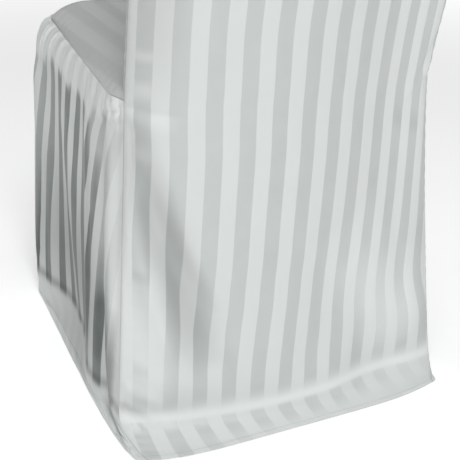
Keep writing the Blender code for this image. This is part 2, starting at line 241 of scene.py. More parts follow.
# Small creases in the spread hem of the skirt: place round the skirt and metres up from the
# hem, at the start and at the end
BAND_CREASES = (
    (-0.004, 0.032, 0.050, 0.004, 0.0050, 0.0036, 0.0024),
    (0.006, 0.010, 0.042, 0.024, 0.0040, -0.0030, -0.0022),
    (0.014, 0.042, 0.075, 0.020, 0.0060, -0.0032, -0.0018),
    (0.030, 0.004, 0.062, 0.020, 0.0040, 0.0032, 0.0020),
    (0.090, 0.050, 0.120, 0.010, 0.0080, 0.0012, 0.0010),
    (0.210, 0.055, 0.240, 0.012, 0.0120, -0.0012, -0.0010),
    (0.330, 0.060, 0.350, 0.010, 0.0120, 0.0014, 0.0012),
)

# Stripes, one of satin and one of plain weave to a repeat of 4 cm
STRIPE = 0.020
STRIPE_SOFTNESS = 0.0012

# Stripes on the back: where the first satin stripe starts from the left seam, how wide a
# stripe stands, how far the middle is drawn to the right, and these two at the floor
BACK_START = 0.0150
BACK_SCALE = 0.932
BACK_DRAWN = 0.0185
TOP_DRAWN = 0.0120
TOP_ZONE = (0.440, 0.560)
FOOT_START = 0.0185
FOOT_SCALE = 0.987
FOOT_DRAWN = 0.0
FOOT_ZONE = (0.085, 0.190)
BAND_DRAG_LEFT = 0.235
BAND_DRAG_RIGHT = -0.080

# Stripes on the skirt: front edge of the second satin stripe from the rear seam, at the
# seat and further down the cloth, and how wide a stripe stands
SKIRT_START = 0.043
SKIRT_SLANT = 0.400
SKIRT_SLANT_EASE = 0.450
SKIRT_SLANT_END = 0.400
SKIRT_SCALE = 1.00
SKIRT_TURN = (0.30, 0.70)

# Looks: linear colours, and how they vary over the cloth
PLAIN_COLOUR = (0.720, 0.745, 0.735)
SATIN_COLOUR = (0.200, 0.225, 0.220)
PLAIN_TONES = (0.96, 1.0)
SATIN_TONES = (0.72, 1.25)
TONE_SCALE = 26.0
TONE_DETAIL = 3.0
PLAIN_ROUGHNESS = 0.80
SATIN_ROUGHNESS = 0.55
SATIN_METAL = 0.25
SATIN_METAL_SHARE = 0.25
SATIN_GRAIN = 0.70
SHEEN = 0.12
SHEEN_ROUGHNESS = 0.4

# Weave: pitch of its threads, depth of the weave, of its slubs and of the satin's face
WARP_PITCH = 0.0011
WEFT_PITCH = 0.0009
WEAVE_DEPTH = 0.00006
SLUB_DEPTH = 0.00030
SLUB_SCALE = 150.0
SLUB_DETAIL = 4.0
SATIN_LEVEL = -0.00008
WEAVE_STRENGTH = 0.35

# The seat's cloth is set darker as painted shade, for the backrest's shadow on it and for its
# satin turning away from the light
CLOTH_PAINTED_SHADE = {"back_cloth": 1.0, "seat_cloth": 0.76, "skirt_cloth": 1.0}

# How far the satin stripes stand out, which is painted sheen and shade: faintly wherever the cloth
# is pulled flat and faces up or towards the light, so that its sheen pales the satin, and fully on
# the steep folds of the skirt, which the light only grazes
BACK_STAND_OUT = 0.24
SEAT_STAND_OUT = 0.065
SHOULDER_STAND_OUT = 0.11
SKIRT_STAND_OUT = 0.92
REAR_STAND_OUT = 0.34
BAND_STAND_OUT = 0.07
BACK_BAND_STAND_OUT = 0.25
REAR_FOOT_STAND_OUT = 0.85
REAR_FOOT_ZONE = (0.110, 0.230)
REAR_ZONE = (0.085, 0.112)
STRIP_STAND_OUT = 0.10
STRIP_ZONE = (0.020, 0.032)
BAND_ZONE = (0.000, 0.014)
ROLL_FADE_ZONE = (-0.016, 0.012)
BACK_BAND_ZONE = (0.017, 0.020)
BACK_BAND_FADE = 0.36
BACK_HEM_ZONE = (0.032, 0.054)
BACK_HEM_FADE = 0.85
LEAST_STAND_OUT = 0.02

# Depth of the shoulder round the skirt, painted pale as painted light and sheen where it faces up,
# down to where the dark stripes start.
# Columns: place from the nearer rear seam, metres down the cloth. The ripples of that edge
# are given by their depth and radians a metre
SHOULDER_EDGE = (
    (0.000, 0.026),
    (0.090, 0.030),
    (0.108, 0.058),
    (0.130, 0.036),
    (0.170, 0.044),
    (0.290, 0.036),
    (0.350, 0.050),
    (0.430, 0.062),
    (0.740, 0.060),
)
SHOULDER_RIPPLES = ((0.004, 210.0), (0.003, 97.0))
SHOULDER_SOFTNESS = 0.016

# Patches of painted sheen and shade, where the satin of the back stands out more or less. Columns
# as in the creases, with the change in contrast in place of the depth
BACK_PATCHES = (
    (0.212, 0.516, 0.176, 0.516, 0.011, -0.16, -0.16),
    (0.212, 0.474, 0.176, 0.474, 0.018, -0.16, -0.16),
    (0.215, 0.400, 0.176, 0.384, 0.018, -0.14, -0.14),
    (0.215, 0.440, 0.105, 0.070, 0.040, 0.12, 0.16),
    (0.225, 0.260, 0.170, 0.030, 0.045, -0.20, -0.20),
    (0.212, 0.240, 0.172, 0.228, 0.014, 0.14, 0.12),
    (0.212, 0.104, 0.172, 0.088, 0.014, 0.12, 0.10),
    (-0.090, 0.230, -0.200, 0.060, 0.070, -0.10, -0.18),
    (-0.120, 0.420, -0.215, 0.380, 0.020, 0.06, 0.10),
)

# The same painted sheen and shade on the skirt, with the place counted from the nearer rear seam:
# less towards the front, and more where the second stripe dips into the shaded trough
SKIRT_PATCHES = (
    (0.400, 0.620, 0.400, 0.080, 0.150, -0.90, -0.10),
    (0.066, 0.370, 0.108, 0.170, 0.026, 0.52, 0.66),
    (0.056, 0.250, 0.084, 0.060, 0.024, 0.30, 0.40),
)

# Places where the whole cloth catches more or less light, which thin satin does on slopes
# too slight to model. Columns as in the creases, with the change in tone for the depth
BACK_SHADES = (
    (0.226, 0.450, 0.100, 0.085, 0.044, -0.22, -0.26),
    (0.190, 0.370, 0.096, 0.170, 0.016, -0.06, -0.12),
    (0.235, 0.330, 0.160, 0.030, 0.050, 0.08, 0.07),
    (0.214, 0.446, 0.150, 0.436, 0.010, 0.06, 0.04),
    (0.226, 0.052, 0.184, 0.014, 0.009, -0.24, -0.12),
    (-0.130, 1.040, -0.205, 0.240, 0.110, 0.08, 0.12),
    (-0.060, 0.280, -0.225, 0.080, 0.100, 0.06, 0.11),
    (0.184, 1.040, 0.184, 0.440, 0.046, -0.17, -0.15),
)
SKIRT_SHADES = (
    (0.014, 0.440, 0.012, 0.090, 0.022, -0.02, 0.26),
    (-0.010, 0.444, 0.064, 0.426, 0.006, 0.22, 0.12),
    (-0.010, 0.432, 0.060, 0.412, 0.005, -0.12, -0.08),
    (0.014, 0.180, 0.036, 0.000, 0.018, -0.20, -1.00),
    (0.072, 0.230, 0.078, 0.010, 0.016, 0.02, -0.26),
    (0.104, 0.400, 0.112, 0.030, 0.012, -0.14, -0.24),
    (0.140, 0.380, 0.150, 0.040, 0.018, -0.08, -0.16),
    (0.362, 0.250, 0.392, 0.030, 0.008, -0.20, -0.42),
    (0.050, 0.110, 0.420, 0.160, 0.190, -0.42, -0.30),
    (0.030, 0.150, 0.052, 0.030, 0.010, -0.10, -0.30),
)
SHOULDER_SHADE = 0.13
BREAK_SHADE = -0.34
BREAK_SHADE_REACH = 0.008
ROLL_SHADE = 0.13
BACK_BAND_SHADE = -0.03
DARKEST_SHADE = 0.45
LIGHTEST_SHADE = 1.16

# Tone of the thread line at the sewn edges, and where it fades
EDGE_LINE = (0.0004, 0.0016)
EDGE_TONE = {"back_cloth": 0.80, "seat_cloth": 0.48, "skirt_cloth": 0.74}

# Camera, measured on the photograph, from the middle of the chair
IMAGE_SIDE = 460
FOCAL_PIXELS = 1074.7
SENSOR_MM = 36.0
PRINCIPAL_SHIFT_PIXELS = 2.5
CAMERA_PLACE = (0.6026, 1.3081, 0.8667)
CAMERA_YAW = -0.4507
CAMERA_PITCH = 0.4530
CAMERA_ROLL = 0.0483
CAMERA_REACH = 60.0

# Studio. Columns of the soft boxes: place, point that they face, side, watts
SKY_COLOUR = (0.95, 0.98, 1.0, 1.0)
SKY_STRENGTH = 0.10
SOFTBOXES = {
    "key": ((1.40, 4.50, 5.20), (0.0, 0.15, 0.35), 2.2, 176.0),
    "fill": ((-3.5, 4.75, 1.75), (0.0, 0.15, 0.35), 2.4, 14.0),
    "top": ((1.0, 1.7, 5.8), (0.0, 0.0, 0.4), 3.0, 147.0),
}

# Pale floor that glows a little, more so further from the cover
FLOOR_SIDE = 14.0
FLOOR_COLOUR = (0.97, 0.97, 0.97, 1.0)
FLOOR_ROUGHNESS = 0.9
FLOOR_SHINE = 0.1
FLOOR_GLOW = 0.28
FLOOR_FAR_GLOW = 0.75
FLOOR_GLOW_ZONE = (1.2, 3.4)


def smooth(value):
    """Ease from 0 to 1."""
    value = min(1.0, max(0.0, value))
    return value * value * (3.0 - 2.0 * value)


def mix(start, end, share):
    return start + (end - start) * share


def fold_depth(place, height, folds):
    """Outward depth of all soft folds at one place and height."""
    total = 0.0
    for place_0, height_0, place_1, height_1, half_width, depth_0, depth_1 in folds:
        run = (place_1 - place_0, height_1 - height_0)
        away = (place - place_0, height - height_0)
        share = (away[0] * run[0] + away[1] * run[1]) / (run[0] ** 2 + run[1] ** 2)
        share = min(1.0, max(0.0, share))
        distance = math.hypot(away[0] - share * run[0], away[1] - share * run[1])
        if distance < half_width:
            bump = 0.5 + 0.5 * math.cos(math.pi * distance / half_width)
            total += mix(depth_0, depth_1, share) * bump
    return total * smooth((SEAT_HEIGHT - height) / FOLD_FADE)


# The back

def side_of(value):
    return LEFT if value >= 0.0 else RIGHT


def below_seat(height):
    """Share of the way from the seat down to the floor, eased."""
    return max(0.0, (SEAT_HEIGHT - height) / SEAT_HEIGHT) ** FOOT_POWER


def seam_half(height, side):
    """Distance of one rear seam from the middle plane."""
    if height > SEAT_HEIGHT:
        return BACK_HALF + BACK_HALF_GROWTH * (height - SEAT_HEIGHT) / (TOP_HEIGHT - SEAT_HEIGHT)
    return BACK_HALF + FOOT_OUT[side] * below_seat(height)


def seam_y(height, side):
    if height > SEAT_HEIGHT:
        return BACK_SEAM_Y + BACK_LEAN * (height - SEAT_HEIGHT)
    return BACK_SEAM_Y + FOOT_BACK[side] * below_seat(height)


def row_half(height, side):
    """Half the width of one row, which narrows round the top corners."""
    into_corner = height - (TOP_HEIGHT - TOP_CORNER_RISE)
    half = seam_half(height, side)
    if into_corner <= 0.0:
        return half
    reach = math.sqrt(max(0.0, TOP_CORNER ** 2 - into_corner ** 2))
    return half - TOP_CORNER + reach


def edge_distance(x, height):
    """Distance inward from the side seams and the rounded top."""
    half = seam_half(height, side_of(x))
    past_x = abs(x) - (half - TOP_CORNER)
    past_z = height - (TOP_HEIGHT - TOP_CORNER_RISE)
    inward = min(half - abs(x), TOP_HEIGHT - height)
    if past_x > 0.0 and past_z > 0.0:
        inward = min(inward, TOP_CORNER - math.hypot(past_x, past_z))
    return max(0.0, inward)


def pad_profile(distance):
    """Rounded edge of the padded backrest, from 0 at the seam to 1."""
    inward = min(1.0, distance / PAD_EDGE)
    return math.sqrt(1.0 - (1.0 - inward) ** 2)


def back_middle(x, height):
    """Middle surface of the bowed backrest."""
    side = side_of(x)
    across = min(1.0, abs(x) / seam_half(height, side))
    straight = mix(seam_y(height, RIGHT), seam_y(height, LEFT), 0.5 + 0.5 * side * across)
    bow = mix(BACK_BOW, FOOT_BOW, below_seat(height))
    return straight + bow * (1.0 - across ** BOW_POWER)


def back_face(column, height, face):
    """One point of the outer (face 1) or inside (face -1) of the back."""
    x = column * row_half(height, side_of(column))
    depth = PAD_HALF * pad_profile(edge_distance(x, height)) * (1.0 - below_seat(height))
    return (x, back_middle(x, height) + face * depth, height)


# The fall of the cloth below the seat

def crease_height_round(share):
    """Height of the floor crease round the skirt, from rear seam to rear seam."""
    rear = CREASE_REAR[LEFT if share < 0.5 else RIGHT]
    from_rear = min(share, 1.0 - share) / CREASE_FRONT_SHARE
    return mix(rear, CREASE_FRONT, smooth(from_rear))


def crease_height_across(column):
    """Height of the floor crease across the back."""
    return mix(CREASE_REAR[RIGHT], CREASE_REAR[LEFT], smooth(0.5 + 0.5 * column))


def back_hem(column):
    """Hem of the back panel on the floor."""
    straight = mix(HEM_SEAM_Y[RIGHT], HEM_SEAM_Y[LEFT], 0.5 + 0.5 * column)
    bow = HEM_BACK_BOW * (1.0 - abs(column) ** HEM_BOW_POWER)
    return (column * HEM_SEAM_HALF[side_of(column)], straight + bow)


def back_hang(column, height):
    """Back panel below the seat, without its kick."""
    x, y, _ = back_face(column, height, 1)
    edge = smooth((1.0 - abs(column)) / BACK_FOLD_EDGE)
    return (x, y + edge * fold_depth(x, height, BACK_FOLDS))


def rounded_run(station, rear, front_half, front_y, corner):
    """Half outline in plan from the rear seam to the front's middle.

    The station is 0 to 1 down the side, 1 to 2 round the corner and 2 to 3 along the front.
    """
    if station <= 1.0:
        return (mix(rear[0], front_half, station), mix(rear[1], front_y + corner, station))
    if station <= 2.0:
        angle = (station - 1.0) * math.pi / 2
        x = front_half - corner + corner * math.cos(angle)
        return (x, front_y + corner - corner * math.sin(angle))
    return ((front_half - corner) * (3.0 - station), front_y)


def outward(station):
    if station <= 1.0:
        return (1.0, 0.0)
    if station <= 2.0:
        angle = (station - 1.0) * math.pi / 2
        return (math.cos(angle), -math.sin(angle))
    return (0.0, -1.0)


def from_seam(station, at_seam, further):
    """Side line that starts at the rear seam and eases to its own course."""
    return mix(at_seam, further, smooth(station / REAR_RAMP))


def seat_seam(station):
    """Seat seam in plan, which is the same on both sides."""
    rear = (SEAT_REAR_HALF, BACK_SEAM_Y)
    x, y = rounded_run(station, rear, SEAT_FRONT_HALF, SEAT_FRONT_Y, SEAT_CORNER)
    return (from_seam(station, BACK_HALF, x), y)


def hang_line(station, height, side):
    """Hanging line in plan on one side, before its folds."""
    half = seam_half(height, side)
    flare = half - seam_half(height, LEFT)
    rear = (HANG_REAR_HALF + flare, seam_y(height, side))
    x, y = rounded_run(station, rear, HANG_FRONT_HALF, HANG_FRONT_Y, HANG_CORNER)
    return (from_seam(station, half, x), y)


def hem_line(station, side):
    """Hem in plan on one side, which turns the rear corner from the seam."""
    rear = (HEM_SIDE_HALF[side], BACK_SEAM_Y)
    x, y = rounded_run(station, rear, HEM_SIDE_FRONT_HALF, HEM_FRONT_Y, HEM_CORNER)
    turn = min(1.0, station / HEM_REAR_TURN) * math.pi / 2
    out = math.sin(turn) ** HEM_TURN_POWER
    return (mix(HEM_SEAM_HALF[side], x, out), mix(y, HEM_SEAM_Y[side], math.cos(turn)))


def round_length(station):
    """Metres along the hanging line from the rear seam."""
    side_length = BACK_SEAM_Y - HANG_FRONT_Y - HANG_CORNER
    corner_length = HANG_CORNER * math.pi / 2
    front_length = HANG_FRONT_HALF - HANG_CORNER
    length = side_length * min(station, 1.0)
    length += corner_length * min(max(station - 1.0, 0.0), 1.0)
    return length + front_length * max(station - 2.0, 0.0)


# The three sheets at their fine spacing

def eased(count, ease):
    """Shares from 0 to 1 that stand closer together at both ends."""
    shares = [step / count for step in range(count + 1)]
    return [t - ease * math.sin(2.0 * math.pi * t) / (2.0 * math.pi) for t in shares]


def all_columns():
    columns = [1.0 - 2.0 * share for share in eased(ACROSS_STEPS, ACROSS_EASE)]
    columns[ACROSS_STEPS // 2] = 0.0
    return columns


def seat_stations():
    corner = [1.0 + step / CORNER_STEPS for step in range(1, CORNER_STEPS + 1)]
    return eased(SIDE_STEPS, SIDE_EASE) + corner


def fall(crease):
    """Rows below the seat as (share of the kick, height, shoulder share)."""
    rows = []
    for step in range(SHOULDER_STEPS + 1):
        angle = mix(SHOULDER_START, math.pi / 2, step / SHOULDER_STEPS)
        drop = (math.cos(SHOULDER_START) - math.cos(angle)) / math.cos(SHOULDER_START)
        out = (math.sin(angle) - math.sin(SHOULDER_START)) / (1.0 - math.sin(SHOULDER_START))
        rows.append((0.0, SEAT_HEIGHT - SHOULDER_DROP * drop, out))
    hang_top = SEAT_HEIGHT - SHOULDER_DROP
    hang_foot = crease + BEND_REACH
    for step in range(1, HANG_STEPS + 1):
        rows.append((0.0, mix(hang_top, hang_foot, step / HANG_STEPS), 1.0))
    bend_height = mix(crease, CLOTH, BEND_SHARE / FLAT_SHARE)
    for step in range(1, BEND_STEPS + 1):
        t = step / BEND_STEPS
        height = (1 - t) ** 2 * hang_foot + 2 * t * (1 - t) * crease + t * t * bend_height
        rows.append((t * t * BEND_SHARE, height, 1.0))
    for step in eased(BAND_STEPS, BAND_EASE)[1:]:
        share = mix(BEND_SHARE, 1.0, step)
        along = min(1.0, share / FLAT_SHARE)
        rows.append((share, mix(crease, CLOTH, along), 1.0))
    return rows


def soft_turn(column, height):
    """How far the back stands out of its two straight runs where they meet at the seat."""
    reach = max(0.0, 1.0 - abs(height - SEAT_HEIGHT) / TURN_REACH)
    inside = smooth((1.0 - abs(column)) / TURN_EDGE)
    return inside * BACK_LEAN * TURN_REACH / 4.0 * reach ** 2


def back_sheet():
    lower = []
    for column in all_columns():
        hem = back_hem(column)
        strip = []
        for share in eased(BACKREST_STEPS, BACKREST_EASE)[:-1]:
            height = mix(TOP_HEIGHT, SEAT_HEIGHT, share)
            x, y, _ = back_face(column, height, 1)
            strip.append((x, y + soft_turn(column, height), height))
        for share, height, _ in fall(crease_height_across(column)):
            hang_x, hang_y = back_hang(column, height)
            hang_y += soft_turn(column, height)
            strip.append((mix(hang_x, hem[0], share), mix(hang_y, hem[1], share), height))
        lower.append(strip)
    return np.array(lower).transpose(1, 0, 2)


def seat_height(x, y):
    """Crowned seat, from the seat seam inward."""
    centre_y = SEAT_FRONT_Y + SEAT_CORNER
    side = min(1.0, max(0.0, (y - centre_y) / (BACK_SEAM_Y - centre_y)))
    half = mix(SEAT_FRONT_HALF, SEAT_REAR_HALF, side)
    past_x = abs(x) - (half - SEAT_CORNER)
    past_y = centre_y - y
    if past_x > 0.0 and past_y > 0.0:
        inward = SEAT_CORNER - math.hypot(past_x, past_y)
    else:
        inward = min(half - abs(x), y - SEAT_FRONT_Y)
    return SEAT_HEIGHT + SEAT_CROWN * (1.0 - math.exp(-max(0.0, inward) / CROWN_REACH))


def seat_sheet():
    columns = []
    for column in all_columns():
        at_seam = abs(column) == 1.0
        crease_x, crease_y, _ = back_face(column, SEAT_HEIGHT, -1)
        crease_height = SEAT_HEIGHT if at_seam else seat_height(crease_x, crease_y)
        strip = []
        for share in eased(BACKREST_STEPS, BACKREST_EASE)[:-1]:
            strip.append(back_face(column, mix(TOP_HEIGHT, crease_height, share), -1))
        for station in seat_stations():
            half, edge_y = seat_seam(station)
            forward = (BACK_SEAM_Y - edge_y) / (BACK_SEAM_Y - SEAT_FRONT_Y)
            x = column * half
            y = edge_y if at_seam else mix(crease_y, SEAT_FRONT_Y, forward)
            on_seam = at_seam or forward >= 1.0
            strip.append((x, y, SEAT_HEIGHT if on_seam else seat_height(x, y)))
        columns.append(strip)
    return np.array(columns).transpose(1, 0, 2)


def skirt_stations():
    """Stations from rear seam to rear seam as (station, side)."""
    stations = [(station, LEFT) for station in seat_stations()]
    stations += [(3.0 - abs(column), side_of(column)) for column in all_columns()[1:]]
    stations += [(station, RIGHT) for station in reversed(seat_stations()[:-1])]
    return stations


def skirt_places():
    """Metres round the skirt from the left rear seam, for each station."""
    whole = 2.0 * round_length(3.0)
    places = []
    for station, side in skirt_stations():
        length = round_length(station)
        places.append(length if side == LEFT else whole - length)
    return places


def skirt_sheet():
    whole = 2.0 * round_length(3.0)
    columns = []
    for (station, side), place in zip(skirt_stations(), skirt_places()):
        crease = crease_height_round(place / whole)
        seam = seat_seam(station)
        start = hang_line(station, SEAT_HEIGHT, side)
        hem = hem_line(station, side)
        direction = outward(station)
        rear_fade = smooth(round_length(station) / SKIRT_FOLD_EDGE)
        column = []
        for share, height, shoulder in fall(crease):
            hang = hang_line(station, height, side)
            depth = rear_fade * fold_depth(place, height, SKIRT_FOLDS)
            x = hang[0] + (seam[0] - start[0]) * (1.0 - shoulder) + direction[0] * depth
            y = hang[1] + (seam[1] - start[1]) * (1.0 - shoulder) + direction[1] * depth
            x = mix(x, hem[0], share)
            y = mix(y, hem[1], share)
            column.append((side * x, y, height))
        columns.append(column)
    return np.array(columns).transpose(1, 0, 2)


# Normals, distances and small relief

def shared_normals(sheets, signs):
    """Vertex normals of all sheets as one surface, so that both sides of a seam agree."""
    points, faces = [], []
    for name, sheet in sheets.items():
        across = sheet[1:, 1:] - sheet[:-1, :-1]
        other = sheet[:-1, 1:] - sheet[1:, :-1]
        sheet_faces = (signs[name] * np.cross(across, other)).reshape(-1, 3)
        for corners in (sheet[:-1, :-1], sheet[1:, :-1], sheet[:-1, 1:], sheet[1:, 1:]):
            points.append(corners.reshape(-1, 3))
            faces.append(sheet_faces)
    keys = np.round(np.concatenate(points) / WELD).astype(np.int64)
    places, members = np.unique(keys, axis=0, return_inverse=True)
    sums = np.zeros((len(places), 3))
    np.add.at(sums, members.reshape(-1), np.concatenate(faces))
    found = dict(zip(map(tuple, places.tolist()), sums))
    normals = {}
    for name, sheet in sheets.items():
        own = np.round(sheet.reshape(-1, 3) / WELD).astype(np.int64).tolist()
        flat = np.array([found[tuple(key)] for key in own])
        flat /= np.linalg.norm(flat, axis=1)[:, None]
        normals[name] = flat.reshape(sheet.shape)
    return normals


def run_lengths(sheet, axis):
    """Metres along the cloth from the first row or column."""
    steps = np.linalg.norm(np.diff(sheet, axis=axis), axis=2)
    return np.insert(np.cumsum(steps, axis=axis), 0, 0.0, axis=axis)


def drifting_phase(along, length, drift):
    """Phase of a wave along a seam, in radians, with an uneven spacing."""
    size, rate = drift
    return 2.0 * math.pi * along / length + size * np.sin(along * rate)


def seam_relief(distance, along):
    """Groove at a sewn seam, with shallow puckers beside it."""
    groove = -SEAM_GROOVE * np.exp(-(distance / SEAM_REACH) ** 2)
    beside = (distance / PUCKER_REACH) * np.exp(1.0 - distance / PUCKER_REACH)
    wave = np.sin(drifting_phase(along, PUCKER_LENGTH, PUCKER_DRIFT))
    return groove + PUCKER_DEPTH * beside * wave


def hem_relief(distance):
    """The turned hem stands a little proud, with a stitched line at its inner edge."""
    raised = HEM_RAISE * (1.0 - np.clip((distance - HEM_WIDTH) / HEM_STEP, 0.0, 1.0))
    stitched = HEM_GROOVE * np.exp(-((distance - HEM_WIDTH) / HEM_GROOVE_REACH) ** 2)
    return raised - stitched


def roll_relief(beyond):
    """Rounded roll just where the cloth turns out onto the floor."""
    distance = np.abs(beyond - ROLL_PLACE) / ROLL_REACH
    return ROLL_DEPTH * (0.5 + 0.5 * np.cos(math.pi * np.minimum(1.0, distance)))


def gather_relief(places, down):
    """Uneven gathers that hang from the seat seam."""
    wave = np.zeros(down.shape)
    for length, share, drift, lean in GATHER_WAVES:
        wave += share * np.sin(drifting_phase(places, length, drift) + lean * down)
    fade = eased_share(down / GATHER_START) * np.maximum(0.0, 1.0 - down / GATHER_REACH)
    return GATHER_DEPTH * wave * fade


def crease_grid(places, heights, rows):
    """Sum of tapered strips on a grid, which give creases, patches of contrast or shades."""
    total = np.zeros(heights.shape)
    for place_0, height_0, place_1, height_1, half_width, depth_0, depth_1 in rows:
        run = (place_1 - place_0, height_1 - height_0)
        away = (places - place_0, heights - height_0)
        share = (away[0] * run[0] + away[1] * run[1]) / (run[0] ** 2 + run[1] ** 2)
        share = np.clip(share, 0.0, 1.0)
        distance = np.hypot(away[0] - share * run[0], away[1] - share * run[1])
        bump = 0.5 + 0.5 * np.cos(math.pi * np.minimum(1.0, distance / half_width))
        taper = 1.0 - np.abs(2.0 * share - 1.0) ** CREASE_TAPER
        total += (depth_0 + (depth_1 - depth_0) * share) * bump * taper
    return total


def eased_share(share):
    share = np.clip(share, 0.0, 1.0)
    return share * share * (3.0 - 2.0 * share)


def zone_share(value, zone):
    """Ease from 0 at the start of a zone to 1 at its end."""
    return eased_share((value - zone[0]) / (zone[1] - zone[0]))


# Camera, light and floor

class NodeTree:
    """Short ways to add shader nodes."""

    def __init__(self, material):
        material.use_nodes = True
        self.tree = material.node_tree
        self.shader = self.tree.nodes["Principled BSDF"]

    def add(self, kind, **settings):
        node = self.tree.nodes.new(kind)
        for name, value in settings.items():
            setattr(node, name, value)
        return node

    def feed(self, socket, value):
        if isinstance(value, bpy.types.NodeSocket):
            self.tree.links.new(value, socket)
        else:
            socket.default_value = value

    def math(self, operation, first, second=0.0):
        node = self.add("ShaderNodeMath", operation=operation)
        self.feed(node.inputs[0], first)
        self.feed(node.inputs[1], second)
        return node.outputs[0]

    def ramp(self, value, low, high, to_low, to_high):
        node = self.add("ShaderNodeMapRange", interpolation_type="SMOOTHSTEP")
        for index, item in enumerate((value, low, high, to_low, to_high)):
            self.feed(node.inputs[index], item)
        return node.outputs[0]

    def wave(self, value, pitch):
        return self.math("SINE", self.math("MULTIPLY", value, 2.0 * math.pi / pitch))

    def attribute(self, name, output):
        return self.add("ShaderNodeAttribute", attribute_name=name).outputs[output]

    def noise(self, vector, scale, detail):
        node = self.add("ShaderNodeTexNoise", noise_dimensions="3D")
        self.feed(node.inputs["Vector"], vector)
        self.feed(node.inputs["Scale"], scale)
        self.feed(node.inputs["Detail"], detail)
        return node.outputs["Fac"]

    def blend(self, share, first, second, kind="MIX"):
        node = self.add("ShaderNodeMix", data_type="RGBA", blend_type=kind)
        self.feed(node.inputs["Factor"], share)
        self.feed(node.inputs["A"], first)
        self.feed(node.inputs["B"], second)
        return node.outputs["Result"]


def place_camera():
    forward = Vector((
        math.sin(CAMERA_YAW) * math.cos(CAMERA_PITCH),
        -math.cos(CAMERA_YAW) * math.cos(CAMERA_PITCH),
        -math.sin(CAMERA_PITCH),
    ))
    level = forward.cross(Vector((0.0, 0.0, 1.0))).normalized()
    upright = level.cross(forward)
    right = level * math.cos(CAMERA_ROLL) + upright * math.sin(CAMERA_ROLL)
    up = upright * math.cos(CAMERA_ROLL) - level * math.sin(CAMERA_ROLL)
    data = bpy.data.cameras.new("camera")
    data.sensor_width = SENSOR_MM
    data.lens = SENSOR_MM * FOCAL_PIXELS / IMAGE_SIDE
    data.shift_x = PRINCIPAL_SHIFT_PIXELS / IMAGE_SIDE
    data.clip_end = CAMERA_REACH
    camera = bpy.data.objects.new("camera", data)
    turn = Matrix((right, up, -forward)).transposed().to_4x4()
    middle = Vector((*FOOTPRINT_MIDDLE, 0.0))
    camera.matrix_world = Matrix.Translation(Vector(CAMERA_PLACE) - middle) @ turn
    bpy.context.scene.collection.objects.link(camera)
    bpy.context.scene.camera = camera


def add_softbox(name, place, target, side, power):
    data = bpy.data.lights.new(name, "AREA")
    data.shape = "RECTANGLE"
    data.size = data.size_y = side
    data.energy = power
    light = bpy.data.objects.new(name, data)
    light.location = place
    light.rotation_euler = (Vector(target) - Vector(place)).to_track_quat("-Z", "Y").to_euler()
    bpy.context.scene.collection.objects.link(light)


def light_studio():
    world = bpy.data.worlds.new("studio")
    world.use_nodes = True
    background = world.node_tree.nodes["Background"]
    background.inputs["Color"].default_value = SKY_COLOUR
    background.inputs["Strength"].default_value = SKY_STRENGTH
    bpy.context.scene.world = world
    bpy.context.scene.view_settings.view_transform = "Standard"
    for name, settings in SOFTBOXES.items():
        add_softbox(name, *settings)


def lay_floor():
    mesh = bpy.data.meshes.new("floor")
    half = FLOOR_SIDE / 2.0
    corners = [(-half, -half, 0.0), (half, -half, 0.0), (half, half, 0.0), (-half, half, 0.0)]
    mesh.from_pydata(corners, [], [(0, 1, 2, 3)])
    floor = bpy.data.objects.new("floor", mesh)
    material = bpy.data.materials.new("floor")
    nodes = NodeTree(material)
    reach = nodes.add("ShaderNodeVectorMath", operation="LENGTH")
    nodes.feed(reach.inputs[0], nodes.add("ShaderNodeTexCoord").outputs["Object"])
    glow = nodes.ramp(reach.outputs["Value"], *FLOOR_GLOW_ZONE, FLOOR_GLOW, FLOOR_FAR_GLOW)
    for socket, value in (
        ("Base Color", FLOOR_COLOUR),
        ("Emission Color", (1.0, 1.0, 1.0, 1.0)),
        ("Emission Strength", glow),
        ("Roughness", FLOOR_ROUGHNESS),
        ("Specular IOR Level", FLOOR_SHINE),
    ):
        nodes.feed(nodes.shader.inputs[socket], value)
    mesh.materials.append(material)
    bpy.context.scene.collection.objects.link(floor)


# Cloth

def tinted(colour, share):
    return (*[share * channel for channel in colour], 1.0)


